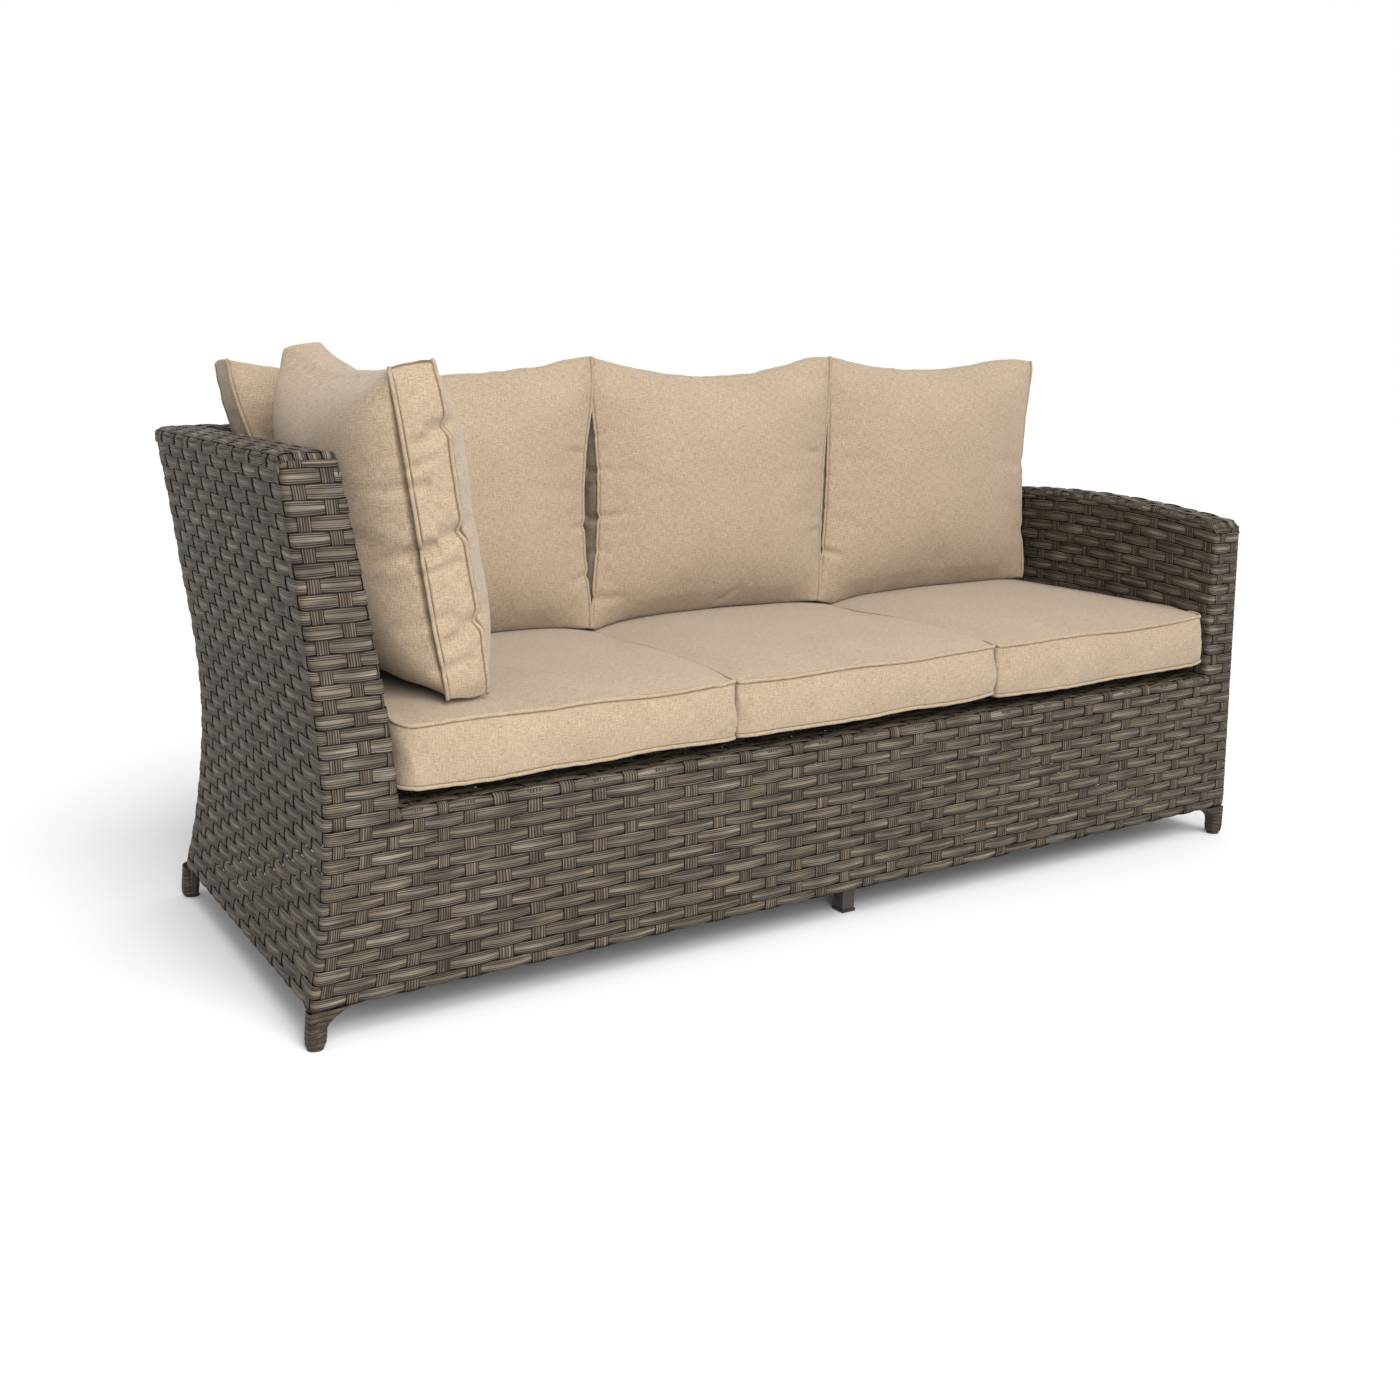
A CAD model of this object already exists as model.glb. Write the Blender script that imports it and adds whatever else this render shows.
# %% [markdown]
# # A rattan garden sofa
# The real sofa is a welded tube frame covered in flat synthetic rattan, with seven loose linen
# cushions. The frame is already modelled as solids. This lesson loads those solids, weaves the
# rattan over them strand by strand, and upholsters the cushions.

# %% Load the solids
import math
import random

import bmesh
import bpy
import numpy as np
from mathutils import Matrix, Vector, noise
from mathutils.bvhtree import BVHTree


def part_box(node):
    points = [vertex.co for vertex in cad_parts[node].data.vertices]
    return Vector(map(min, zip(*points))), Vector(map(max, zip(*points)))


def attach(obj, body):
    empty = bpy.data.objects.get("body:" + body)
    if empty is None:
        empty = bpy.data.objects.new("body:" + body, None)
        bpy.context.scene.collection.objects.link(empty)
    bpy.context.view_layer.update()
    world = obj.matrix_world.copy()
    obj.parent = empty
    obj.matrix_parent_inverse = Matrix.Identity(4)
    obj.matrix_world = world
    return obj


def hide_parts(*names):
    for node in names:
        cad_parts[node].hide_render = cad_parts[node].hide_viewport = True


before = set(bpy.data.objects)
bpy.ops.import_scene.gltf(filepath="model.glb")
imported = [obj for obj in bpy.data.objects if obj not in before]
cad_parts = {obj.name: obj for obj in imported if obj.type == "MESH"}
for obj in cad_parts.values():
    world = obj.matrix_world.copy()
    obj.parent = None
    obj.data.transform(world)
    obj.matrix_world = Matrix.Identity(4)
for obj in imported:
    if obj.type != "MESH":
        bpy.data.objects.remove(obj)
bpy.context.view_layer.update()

# %% [markdown]
# ## Camera, floor and light
# The camera comes first, because every later choice is judged through it. Its place and lens
# were worked out from the feet and corners of the real sofa.

# %% Camera
camera_data = bpy.data.cameras.new("product_camera")
camera_data.lens = 39.32
camera_data.sensor_width = 36
camera = bpy.data.objects.new("product_camera", camera_data)
camera.location = (-1.4915, -2.3181, 0.97)
camera.rotation_euler = (math.radians(76.645), 0, math.radians(-31.5))
scene = bpy.context.scene
scene.collection.objects.link(camera)
scene.camera = camera
scene.view_settings.view_transform = "Standard"


# %% Studio light and floor
def link(obj):
    scene.collection.objects.link(obj)
    return obj


def lamp(name, kind, spot, target, energy, **settings):
    data = bpy.data.lights.new(name, kind)
    data.energy = energy
    for key, value in settings.items():
        setattr(data, key, value)
    obj = link(bpy.data.objects.new(name, data))
    obj.location = spot
    obj.rotation_euler = (Vector(target) - obj.location).to_track_quat("-Z", "Y").to_euler()


# a lamp as wide as a studio ceiling, and a softbox whose light grows weaker across the sofa
lamp("key_light", "SUN", (0.25, -2.5, 3.0), (0, 0, 0), 2.8, angle=math.radians(34))
lamp("front_softbox", "AREA", (-0.9, -2.9, 1.5), (-0.4, -0.3, 0.4), 68, size=1.4)
world = bpy.data.worlds.new("studio")
world.use_nodes = True
backdrop = world.node_tree.nodes["Background"].inputs
backdrop["Color"].default_value = (1, 1, 1, 1)
backdrop["Strength"].default_value = 1.0
scene.world = world


FLOOR_HALF, FLOOR_TONE = 14, 0.61
paper = bpy.data.materials.new("floor_paper")
paper.use_nodes = True
paper_inputs = paper.node_tree.nodes["Principled BSDF"].inputs
paper_inputs["Base Color"].default_value = (FLOOR_TONE, FLOOR_TONE, FLOOR_TONE, 1)
paper_inputs["Roughness"].default_value = 0.9
floor_mesh = bpy.data.meshes.new("studio_floor")
corners = ((-1, -1), (1, -1), (1, 1), (-1, 1))
floor_mesh.from_pydata([(x * FLOOR_HALF, y * FLOOR_HALF, 0) for x, y in corners], [], [(0, 1, 2, 3)])
floor_mesh.materials.append(paper)
link(bpy.data.objects.new("studio_floor", floor_mesh))

# %% [markdown]
# ## A short way to write node trees
# Materials and Geometry Nodes are both graphs. A small helper adds a node, sets its
# properties and links its inputs in one line, so that the recipes below stay readable.


# %% Node helper
class Graph:
    """Adds nodes to a tree. An input is a socket to link or a value to set."""

    def __init__(self, tree):
        self.tree = tree

    def node(self, kind, inputs=(), **properties):
        made = self.tree.nodes.new(kind)
        for key, value in properties.items():
            setattr(made, key, value)
        items = inputs.items() if isinstance(inputs, dict) else enumerate(inputs)
        for key, value in items:
            if value is None:
                continue
            if isinstance(value, bpy.types.NodeSocket):
                self.tree.links.new(value, made.inputs[key])
            else:
                made.inputs[key].default_value = value
        return made

    def out(self, kind, inputs=(), socket=0, **properties):
        return self.node(kind, inputs, **properties).outputs[socket]

    def math(self, operation, *values):
        return self.out("ShaderNodeMath", values, operation=operation)

    def mul(self, a, b):
        return self.math("MULTIPLY", a, b)

    def add(self, a, b):
        return self.math("ADD", a, b)

    def sub(self, a, b):
        return self.math("SUBTRACT", a, b)

    def mad(self, a, b, c):
        """a times b, plus c"""
        return self.math("MULTIPLY_ADD", a, b, c)

    def vector(self, x=0.0, y=0.0, z=0.0):
        return self.out("ShaderNodeCombineXYZ", (x, y, z))

    def vector_math(self, operation, *values, **properties):
        return self.out("ShaderNodeVectorMath", values, operation=operation, **properties)

    def noise(self, vector, scale, detail, **more):
        inputs = {"Vector": vector, "Scale": scale, "Detail": detail, **more}
        return self.out("ShaderNodeTexNoise", inputs)

    def shaded(self, colour, shade):
        """One colour multiplied by another."""
        return self.out("ShaderNodeMix", {0: 1.0, 6: colour, 7: shade}, data_type="RGBA",
                        blend_type="MULTIPLY", socket=2)

    def named(self, name, kind="FLOAT"):
        return self.out("GeometryNodeInputNamedAttribute", {"Name": name}, data_type=kind)

    def store(self, geometry, name, value, kind="FLOAT"):
        inputs = {"Geometry": geometry, "Name": name, "Value": value}
        return self.out("GeometryNodeStoreNamedAttribute", inputs, data_type=kind, domain="POINT")

    def ramp(self, factor, stops):
        made = self.node("ShaderNodeValToRGB", {"Fac": factor})
        elements = made.color_ramp.elements
        while len(elements) < len(stops):
            elements.new(0.5)
        for element, (place, colour) in zip(elements, stops):
            element.position = place
            element.color = (*colour, 1) if len(colour) == 3 else colour
        return made.outputs["Color"]


def new_material(name):
    material = bpy.data.materials.new(name)
    material.use_nodes = True
    tree = material.node_tree
    return material, Graph(tree), tree.nodes["Principled BSDF"]


def dress(g, shader, colour, height, strength, distance, roughness):
    """Links colour, bump and roughness to the shader. A plain roughness is set on its socket."""
    g.tree.links.new(colour, shader.inputs["Base Color"])
    bump = g.out("ShaderNodeBump", {"Height": height, "Strength": strength, "Distance": distance})
    g.tree.links.new(bump, shader.inputs["Normal"])
    if isinstance(roughness, float):
        shader.inputs["Roughness"].default_value = roughness
    else:
        g.tree.links.new(roughness, shader.inputs["Roughness"])


def srgb(red, green, blue):
    """Screen colour, 0 to 255, as the linear colour that Blender mixes."""
    return tuple(c / 12.92 if c <= 0.04045 else ((c + 0.055) / 1.055) ** 2.4
                 for c in (v / 255 for v in (red, green, blue)))


# %% [markdown]
# ## Synthetic rattan
# Each strand is a flat extruded band of plastic with about five ridges along it. Its colour is
# streaked on purpose, so that no two strands match. The material reads three numbers that the
# weaving step leaves on every point: the place across the strand, the place along it, and a
# random number for each strand.


# %% Rattan material
def rattan_material():
    material, g, shader = new_material("rattan_strand")
    strand = g.out("ShaderNodeAttribute", attribute_name="strand", socket="Vector")
    across, along, chance = g.node("ShaderNodeSeparateXYZ", [strand]).outputs
    is_warp = g.math("GREATER_THAN", chance, 1.5)
    off_centre = g.math("ABSOLUTE", across)
    wander = g.noise(g.vector(g.mul(chance, 37.0), along, chance), 24.0, 2.0)
    shifted = g.mad(g.sub(wander, 0.5), 0.16, off_centre)
    edge_ridges = g.mad(g.math("COSINE", g.mad(shifted, 21.7, -10.6)), 0.5, 0.5)
    near_edge = g.out("ShaderNodeMapRange", [shifted, 0.24, 0.34, 0.0, 1.0])
    weft_ridges = g.sub(1.0, g.mul(g.sub(1.0, edge_ridges), near_edge))
    warp_ridges = g.mad(g.math("COSINE", g.mul(shifted, 15.7)), 0.5, 0.5)
    ridges = g.out("ShaderNodeMix", [is_warp, None, weft_ridges, warp_ridges])
    streak_place = g.vector(g.mad(across, 7.0, g.mul(chance, 91.0)),
                            g.mul(along, 7.0), chance)
    streaks = g.noise(streak_place, 1.0, 3.0, Roughness=0.7)
    patches = g.noise(g.vector(g.mul(chance, 53.0), g.mul(along, 14.0), across), 1.0, 1.0)
    tone = g.mad(streaks, 0.62, g.mul(patches, 0.38))
    weft_tone = g.ramp(tone, [(0.33, srgb(37, 33, 29)), (0.46, srgb(62, 56, 50)),
                              (0.56, srgb(79, 73, 65)), (0.69, srgb(110, 103, 93))])
    warp_tone = g.ramp(tone, [(0.33, srgb(38, 33, 29)), (0.46, srgb(62, 55, 49)),
                              (0.56, srgb(80, 72, 64)), (0.69, srgb(106, 97, 87))])
    colour = g.out("ShaderNodeMix", {0: is_warp, 6: weft_tone, 7: warp_tone}, data_type="RGBA", socket=2)
    groove = g.ramp(ridges, [(0.0, (0.3, 0.28, 0.26)), (0.5, (0.98, 0.98, 0.98)),
                             (1.0, (1.42, 1.42, 1.4))])
    pick = g.noise(g.vector(g.mul(chance, 211.0), g.mul(along, 5.0)), 5.0, 0.0)
    tint = g.ramp(pick, [(0.3, (0.86, 0.86, 0.85)), (0.5, (1.0, 1.0, 1.0)), (0.68, (1.1, 1.05, 0.95))])
    tucked = g.ramp(off_centre, [(0.8, (1, 1, 1)), (0.96, (0.16, 0.14, 0.12))])
    colour = g.shaded(g.shaded(g.shaded(colour, groove), tint), tucked)
    shader.inputs["Specular IOR Level"].default_value = 0.08
    dress(g, shader, colour, g.mad(streaks, 0.3, ridges), 1.0, 0.0008, g.mad(streaks, 0.3, 0.34))
    return material


rattan = rattan_material()
print("material", rattan.name, len(rattan.node_tree.nodes), "nodes")

# %% [markdown]
# ## The faces that the weave follows
# The panels flare like a vase: the outer face comes furthest in at the waist, and out again at
# the foot and at the top. One curve gives that inset at each height, in millimetres from the
# front left corner of the floor plan.

# %% Sizes and the flare
LENGTH, DEPTH, PANEL_TOP, SEAT_TOP, SKIRT_BOTTOM = 1870, 740, 827, 334, 57
WAIST = 357
FRONT_INSET, REAR_INSET, FRONT_EDGE = 42, 46, 8
CORNER_RADII, BACK_THICKNESS, LEFT_THICKNESS = (20, 62), (71, 86), (108, 82)  # at the waist and the top
ARM_INNER, ARM_PEAK, ARM_RISE, ARM_PEAK_PLACE, ARM_TAPER = 1784, 654, 27, 390, 20
FLARE = [(0, 0), (0.07, 0.14), (0.135, 0.4), (0.2, 0.6), (0.31, 0.85),
         (0.43, 1), (0.58, 0.91), (0.7, 0.72), (0.85, 0.48), (1, 0.17)]


def smooth_curve(points, steps=12):
    """Catmull-Rom curve through the points."""
    points = np.array(points, float)
    padded = np.vstack([points[0], points, points[-1]])
    line = []
    for before, start, end, after in zip(padded, padded[1:], padded[2:], padded[3:]):
        for t in np.linspace(0, 1, steps, endpoint=False):
            line.append(0.5 * (2 * start + (end - before) * t
                               + (2 * before - 5 * start + 4 * end - after) * t ** 2
                               + (3 * start - before - 3 * end + after) * t ** 3))
    return np.array(line + [points[-1]])


flare_line = smooth_curve(FLARE)
LEVELS = [4, *np.linspace(SKIRT_BOTTOM, WAIST, 7)[:-1], *np.linspace(WAIST, PANEL_TOP - 10, 9)]
LEVEL_SHARES = np.interp([(z - 4) / (PANEL_TOP - 4) for z in LEVELS], flare_line[:, 0], flare_line[:, 1])


def share(z):
    """Share of the waist inset at a height, straight between the levels of the solids."""
    return float(np.interp(z, LEVELS, LEVEL_SHARES))


def lerp(a, b, t):
    return a + (b - a) * t


def clamp01(t):
    return min(1.0, max(0.0, t))


def rising(low, high, z):
    """From the low value at the waist to the high one at the top of the panels."""
    return lerp(low, high, (z - WAIST) / (PANEL_TOP - WAIST))


def corner_radius(z):
    return rising(*CORNER_RADII, max(z, WAIST))


def back_outer(z):
    return DEPTH - REAR_INSET * share(z)


def back_inner(z):
    return back_outer(max(z, WAIST)) - rising(*BACK_THICKNESS, max(z, WAIST))


def left_outer(y, z):
    t = clamp01((y - FRONT_EDGE) / (back_outer(z) - corner_radius(z) - FRONT_EDGE))
    return share(z) * lerp(FRONT_INSET, REAR_INSET, t)


def left_inner(z):
    return FRONT_INSET * share(max(z, WAIST)) + rising(*LEFT_THICKNESS, max(z, WAIST))


def arm_outer(z):
    return LENGTH - ARM_TAPER * max(0, (z - SKIRT_BOTTOM) / (ARM_PEAK - SKIRT_BOTTOM))


def arm_top(y):
    return ARM_PEAK - ARM_RISE * ((y - ARM_PEAK_PLACE) / ARM_PEAK_PLACE) ** 2


def place(x, y, z):
    """Millimetres from the plan's corner, as metres about the sofa's centre."""
    return ((x - LENGTH / 2) / 1000, (y - DEPTH / 2) / 1000, z / 1000)


print("inset at the waist", round(left_outer(0, WAIST), 1), "mm")

# %% [markdown]
# ## Weaving with Geometry Nodes
# Each face gets a thin guide surface with its own UV map: one unit of U is a warp column and
# one unit of V is a weft row. The tree lays straight strands in that flat pattern, waves them
# over and under each other, and then lifts every point onto the guide with Sample UV Surface.
# So the same tree weaves a flat skirt, a flared panel or a rounded corner.


# %% Weaving tree
def weaving_tree():
    tree = bpy.data.node_groups.new("weave_over_under", "GeometryNodeTree")
    face = tree.interface
    face.new_socket("Geometry", in_out="INPUT", socket_type="NodeSocketGeometry")
    for name, value in (("First column", 0.0), ("Last column", 10.0), ("First row", 0.0),
                        ("Last row", 10.0), ("Weft wave", 0.0017), ("Warp wave", 0.0006),
                        ("Strand thickness", 0.0015), ("Weft width", 1.08), ("Warp width", 0.46),
                        ("Column pitch", 0.0445), ("Row pitch", 0.0205)):
        face.new_socket(name, in_out="INPUT", socket_type="NodeSocketFloat").default_value = value
    for name, value in (("Weft steps", 6), ("Warp steps", 3), ("Seed", 1)):
        face.new_socket(name, in_out="INPUT", socket_type="NodeSocketInt").default_value = value
    face.new_socket("Material", in_out="INPUT", socket_type="NodeSocketMaterial")
    face.new_socket("Geometry", in_out="OUTPUT", socket_type="NodeSocketGeometry")
    g = Graph(tree)
    given = g.node("NodeGroupInput").outputs
    guide = given["Geometry"]
    columns = g.sub(given["Last column"], given["First column"])
    rows = g.sub(given["Last row"], given["First row"])
    uv_map = g.named("weave", "FLOAT_VECTOR")
    woven = []
    for kind in ("weft", "warp"):
        weft = kind == "weft"
        ahead = "First column" if weft else "First row"
        beside = "First row" if weft else "First column"
        length = columns if weft else rows
        steps = g.math("ROUND", g.mul(length, given["Weft steps" if weft else "Warp steps"]))
        first = g.math("CEIL", g.sub(given[beside], 0.5))
        last = g.math("FLOOR", g.sub(given["Last row" if weft else "Last column"], 0.5))
        count = g.add(g.sub(last, first), 1.0)
        rod = g.out("GeometryNodeMeshCylinder",
                    {"Vertices": 6, "Side Segments": steps, "Radius": 1.0, "Depth": 1.0},
                    fill_type="NGON")
        ends_at = g.node("GeometryNodeInputMeshEdgeVertices").outputs
        gone = g.vector_math("SUBTRACT", ends_at["Position 1"], ends_at["Position 2"])
        gone = g.vector_math("MULTIPLY", gone, (1.0, 1.0, 0.0))
        lengthwise = g.math("LESS_THAN", g.vector_math("LENGTH", gone, socket="Value"), 0.01)
        rod = g.out("GeometryNodeSetShadeSmooth",
                    {"Geometry": rod, "Selection": lengthwise, "Shade Smooth": False}, domain="EDGE")
        line = g.out("GeometryNodeMeshLine", {"Count": count}, mode="OFFSET")
        number = g.add(g.out("GeometryNodeInputIndex"), first)
        marked = g.store(line, "strand_number", number)
        flat = g.store(rod, "flat_place", g.out("GeometryNodeInputPosition"), "FLOAT_VECTOR")
        strands = g.out("GeometryNodeInstanceOnPoints", {"Points": marked, "Instance": flat})
        strands = g.out("GeometryNodeRealizeInstances", {"Geometry": strands})
        own = g.named("strand_number")
        flat_place = g.node("ShaderNodeSeparateXYZ", [g.named("flat_place", "FLOAT_VECTOR")])
        side, lift, run = flat_place.outputs
        side = g.mul(g.math("SIGN", side), g.math("SQRT", g.math("ABSOLUTE", side)))
        share_along = g.add(run, 0.5)
        ahead_place = g.mad(share_along, length, given[ahead])
        chance = g.out("FunctionNodeRandomValue",
                       {"Min": 0.0, "Max": 1.0, "ID": g.add(own, 500.0 if weft else 0.0),
                        "Seed": given["Seed"]}, data_type="FLOAT", socket=1)
        wobble_place = g.vector(g.mul(ahead_place, 0.45), g.mul(own, 7.31), g.mul(chance, 9.0))
        wobble = g.sub(g.noise(wobble_place, 1.0, 1.0), 0.5)
        phase = g.mul(g.add(g.sub(ahead_place, 0.5), own), math.pi)
        swing = g.math("COSINE", phase)
        half = g.mul(given["Weft width" if weft else "Warp width"], 0.5)
        if weft:
            half = g.mul(half, g.mad(swing, 0.05, 0.95))
        turn = 1.0 if weft else -1.0
        across = g.mul(g.mul(side, half), turn)
        beside_place = g.add(g.add(own, 0.5), g.mad(wobble, 0.08, across))
        swing = g.mul(swing, g.sub(1.25, g.mul(g.mul(swing, swing), 0.25)))
        wave = g.mul(swing, given["Weft wave" if weft else "Warp wave"])
        if not weft:
            wave = g.mul(wave, -1.0)
        height = g.add(wave, g.mul(lift, g.mul(given["Strand thickness"], 0.57)))
        u, v = (ahead_place, beside_place) if weft else (beside_place, ahead_place)
        u_share = g.math("DIVIDE", g.sub(u, given["First column"]), columns)
        v_share = g.math("DIVIDE", g.sub(v, given["First row"]), rows)
        sample_uv = g.vector(*(g.math("MINIMUM", g.math("MAXIMUM", value, 0.00001), 0.99999)
                               for value in (u_share, v_share)), 0.0)
        on_guide, outwards = (
            g.out("GeometryNodeSampleUVSurface",
                  {"Mesh": guide, "Value": g.out("GeometryNodeInput" + fact), "Source UV Map": uv_map,
                   "Sample UV": sample_uv}, data_type="FLOAT_VECTOR") for fact in ("Position", "Normal"))
        outwards = g.vector_math("NORMALIZE", outwards)
        raised = g.out("ShaderNodeVectorMath", {0: outwards, "Scale": height}, operation="SCALE")
        at = g.vector_math("ADD", on_guide, raised)
        pitch = given["Column pitch" if weft else "Row pitch"]
        mark = chance if weft else g.add(chance, 2.0)
        facts = g.vector(g.mul(side, turn), g.mul(ahead_place, pitch), mark)
        strands = g.store(strands, "strand", facts, "FLOAT_VECTOR")
        woven.append(g.out("GeometryNodeSetPosition", {"Geometry": strands, "Position": at}))
    joined = g.node("GeometryNodeJoinGeometry")
    for strands in woven:
        tree.links.new(strands, joined.inputs[0])
    smooth = g.out("GeometryNodeSetShadeSmooth", {"Geometry": joined.outputs[0], "Shade Smooth": True})
    for name in ("strand_number", "flat_place"):
        smooth = g.out("GeometryNodeRemoveAttribute", {"Geometry": smooth, "Name": name})
    real = g.out("GeometryNodeRealizeInstances", {"Geometry": smooth})
    coated = g.out("GeometryNodeSetMaterial", {"Geometry": real, "Material": given["Material"]})
    g.node("NodeGroupOutput", [coated])
    return tree


weave_tree = weaving_tree()
print("weaving tree", len(weave_tree.nodes), "nodes")


# %% Meshes, and handing them to the frame
def smooth_mesh(name, verts, faces):
    mesh = bpy.data.meshes.new(name)
    mesh.from_pydata(verts, [], faces)
    mesh.polygons.foreach_set("use_smooth", [True] * len(mesh.polygons))
    return mesh


def edit(mesh, change):
    """Lets change work on the mesh as a bmesh."""
    work = bmesh.new()
    work.from_mesh(mesh)
    change(work)
    work.to_mesh(mesh)
    work.free()


def face_outwards(mesh):
    edit(mesh, lambda work: bmesh.ops.recalc_face_normals(work, faces=work.faces))


def write(mesh, name, values):
    """Stores a number or three on every vertex."""
    several = np.ndim(values) > 1
    made = mesh.attributes.new(name, "FLOAT_VECTOR" if several else "FLOAT", "POINT")
    made.data.foreach_set("vector" if several else "value", np.array(values, float).ravel())


def ring_faces(first, rounds, sides):
    """Quads of a closed ring whose cross sections have the same number of vertices."""
    return [[a + k, a + (k + 1) % sides, b + (k + 1) % sides, b + k]
            for a, b in ((first + n * sides, first + (n + 1) % rounds * sides) for n in range(rounds))
            for k in range(sides)]


def hand_over(obj, slot, body, *replaced):
    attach(obj, body)
    if replaced:
        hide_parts(*replaced)


# %% Guide surfaces
def guide_mesh(name, spots, columns, rows):
    """A grid through spots[i][j]. columns and rows are the pattern's places of its lines."""
    many, high = len(columns), len(rows)
    verts = [place(*spots[i][j]) for i in range(many) for j in range(high)]
    faces = [(i * high + j, (i + 1) * high + j, (i + 1) * high + j + 1, i * high + j + 1)
             for i in range(many - 1) for j in range(high - 1)]
    mesh = smooth_mesh(name, verts, faces)
    layer = mesh.uv_layers.new(name="weave")
    width, tall = columns[-1] - columns[0], rows[-1] - rows[0]
    for loop in mesh.loops:
        i, j = divmod(loop.vertex_index, high)
        layer.data[loop.index].uv = ((columns[i] - columns[0]) / width, (rows[j] - rows[0]) / tall)
    return mesh


def socket_name(tree, name):
    return next(s.identifier for s in tree.interface.items_tree
                if s.item_type == "SOCKET" and s.in_out == "INPUT" and s.name == name)


def grow(name, mesh, tree, values):
    """Runs a Geometry Nodes tree on a mesh and keeps the result as a plain mesh object."""
    carrier = link(bpy.data.objects.new(name + "_guide", mesh))
    modifier = carrier.modifiers.new("grow", "NODES")
    modifier.node_group = tree
    for key, value in values.items():
        modifier[socket_name(tree, key)] = value
    carrier.update_tag()
    depsgraph = bpy.context.evaluated_depsgraph_get()
    made = bpy.data.meshes.new_from_object(carrier.evaluated_get(depsgraph))
    carrier.modifiers.remove(modifier)
    bpy.data.objects.remove(carrier)
    made.name = name
    return link(bpy.data.objects.new(name, made))


def weave(name, spots, columns, rows, seed, nodes, sizes=()):
    """Weaves one skin over the grid of spots. sizes changes the tree's other inputs."""
    values = {"First column": float(columns[0]), "Last column": float(columns[-1]),
              "First row": float(rows[0]), "Last row": float(rows[-1]), "Seed": seed,
              "Material": rattan, **dict(sizes)}
    skin = grow(name, guide_mesh(name, spots, columns, rows), weave_tree, values)
    hand_over(skin, "rattan", "sofa_frame", *nodes)
    corners = np.array([v.co for v in skin.data.vertices])
    print(name, len(skin.data.polygons), "faces", corners.min(0).round(3), corners.max(0).round(3))


# %% [markdown]
# ## The belt under the seat
# Below the seat the weave runs in one piece: along the left side, round the corner, across the
# skirt under the seat, and round the arm. Its lowest row tucks under the bottom rail.

# %% Rows and columns
SINK = 1.9  # how far the middle of the weave lies inside the outline
BELT_TOP_ROW, DECK_ROW, TOP_ROW = 13, 14, 38
LOW_PITCH = (SEAT_TOP - SKIRT_BOTTOM) / DECK_ROW
HIGH_PITCH = (PANEL_TOP - SEAT_TOP) / (TOP_ROW - DECK_ROW)
COLUMN_PITCH = 40  # at the front of the left panel, in millimetres
SIDE_COLUMNS, CORNER_COLUMNS, BACK_COLUMNS, ARM_DEPTH = 16, 3, 38, 14
# column 0 is the front left corner, and these are the front's right end, the arm's inner edge and
# the left panel's inner edge
RIGHT_FRONT, ARM_COLUMN, PANEL_COLUMN = 38, 36, 2.5
LEFT_SIDE, RIGHT_SIDE = -SIDE_COLUMNS, RIGHT_FRONT + SIDE_COLUMNS
LEFT_REAR = LEFT_SIDE - CORNER_COLUMNS
FRONT_COLUMNS = [(5.5, 250), (13.5, 675), (33.5, 1673), (ARM_COLUMN, ARM_INNER)]


def row_height(row):
    if row <= DECK_ROW:
        return SKIRT_BOTTOM + row * LOW_PITCH
    return SEAT_TOP + (row - DECK_ROW) * HIGH_PITCH


def front_place(column, z):
    """Where a warp column stands along the front, at a height."""
    start, end = left_outer(0, z), arm_outer(z)
    known = [(0, start), (PANEL_COLUMN, start + COLUMN_PITCH * PANEL_COLUMN), *FRONT_COLUMNS,
             (RIGHT_FRONT, end)]
    return float(np.interp(column, *zip(*known)))


SWELL, SWELL_FROM, SWELL_OVER, SWELL_SIDE = 2.4, 430, 150, 300


def swell(z, t=1.0):
    """How far the weave stands out over the upper posts of the back."""
    return SWELL * clamp01((z - SWELL_FROM) / SWELL_OVER) * clamp01(t)


def side_swell(y, z):
    """The same on the left side, where it grows towards the rear."""
    return swell(z, (y - SWELL_SIDE) / SWELL_SIDE)


CORNER = 8  # radius of the upright edges
BEND = 0.16  # columns on each side of a bent edge that the bend takes up


def rounded(corner, before, after, t):
    """A point, t from 0 to 1, of the quarter round between two sides that meet at a corner."""
    radius, angle = CORNER - SINK, t * math.pi / 2
    return tuple(c + (b + a) * radius - b * radius * math.sin(angle) - a * radius * math.cos(angle)
                 for c, b, a in zip(corner, before, after))


def bent(column, corner, before, after):
    """Pairs of column and plan place round a front corner."""
    return [(column - BEND + BEND / 2 * k, rounded(corner, before, after, k / 4)) for k in range(5)]


def outer_side(z):
    """Pairs of column and plan place, from the seam with the back round the corner to the front."""
    radius = corner_radius(z) - SINK + swell(z)
    yc = back_outer(z) - corner_radius(z)
    xc = left_outer(DEPTH, z) + corner_radius(z)
    seam = left_inner(z)
    flat = max(0.0, seam - xc)
    total = flat + radius * math.pi / 2
    path = [(LEFT_REAR, (seam, back_outer(z) - SINK + swell(z)))] if flat > 0 else []
    for a in np.linspace(0, math.pi / 2, 9):
        path.append((LEFT_REAR + CORNER_COLUMNS * (flat + radius * a) / total,
                     (xc - radius * math.sin(a), yc + radius * math.cos(a))))
    for t in np.linspace(0, 1, 9)[1:-1]:
        y = lerp(yc, CORNER, t)
        path.append((LEFT_SIDE * (1 - t), (left_outer(y, z) + SINK - side_swell(y, z), y)))
    return path + bent(0, (left_outer(0, z) + SINK, SINK), (0, 1), (1, 0))


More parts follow.
